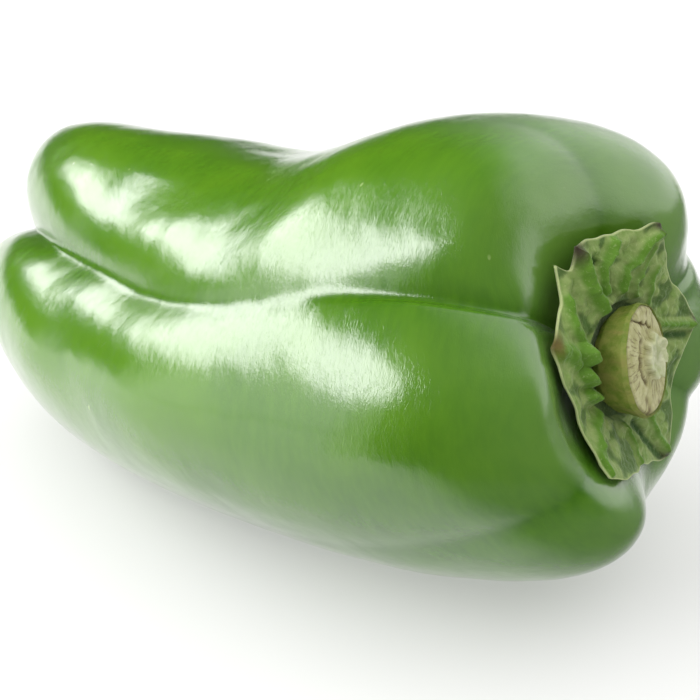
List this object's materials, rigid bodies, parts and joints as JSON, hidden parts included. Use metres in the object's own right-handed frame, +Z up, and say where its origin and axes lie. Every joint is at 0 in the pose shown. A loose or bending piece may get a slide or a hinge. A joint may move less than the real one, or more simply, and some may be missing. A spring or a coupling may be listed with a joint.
{
  "type": "bell pepper",
  "caption": "Whole green bell pepper lying on its side, with a lobed waxy fruit, a crinkled pointed calyx and a short cut stem.",
  "frame": {"origin": "middle of the bounding box on the ground that the pepper lies on", "axes": "+X along the pepper to its stem end, -Y the front, +Z up"},
  "size_m": [0.133, 0.0763, 0.0723],
  "materials": {
    "skin": "glossy waxy skin",
    "calyx": "satin crinkled leaf",
    "stem": "matt, dry cut fibre"
  },
  "bodies": {
    "root": {"fruit": "skin", "calyx": "calyx", "stem": "stem"}
  },
  "joints": []
}
